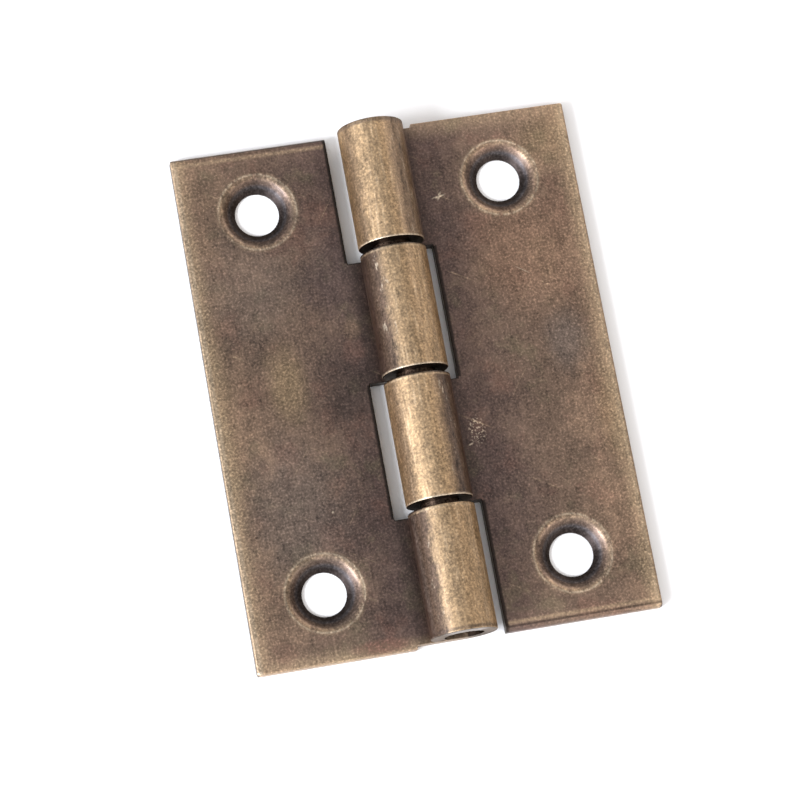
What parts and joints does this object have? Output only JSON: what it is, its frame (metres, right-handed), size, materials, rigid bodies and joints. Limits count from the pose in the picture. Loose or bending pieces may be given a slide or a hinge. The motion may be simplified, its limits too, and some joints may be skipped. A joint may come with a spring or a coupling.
{
  "type": "butt hinge",
  "caption": "Small open butt hinge: two flat leaves with countersunk screw holes, their rolled knuckles interleaved on a fixed pin, in an aged brass finish.",
  "frame": {"origin": "on the plane of the leaves' backs, straight under the middle of the pin, with the hinge opened flat", "axes": "+X across the leaves towards the right leaf, +Y along the pin towards the right leaf's outer knuckle, +Z from the leaves' backs up through the knuckles"},
  "size_m": [0.0292, 0.0382, 0.0048],
  "materials": {
    "leaf_brass": "aged: dark brown film, rubbed to dull gold on the knuckles, rims and edges",
    "pin_steel": "darkened wire"
  },
  "bodies": {
    "left_leaf": {"leaf_left": "leaf_brass"},
    "right_leaf": {"leaf_right": "leaf_brass", "hinge_pin": "pin_steel"}
  },
  "joints": [
    {"name": "fold", "type": "hinge", "parent": "left_leaf", "child": "right_leaf", "pos_m": [0, 0, 0.0024], "axis": [0, -1, 0], "range_deg": [-103, 190]}
  ]
}
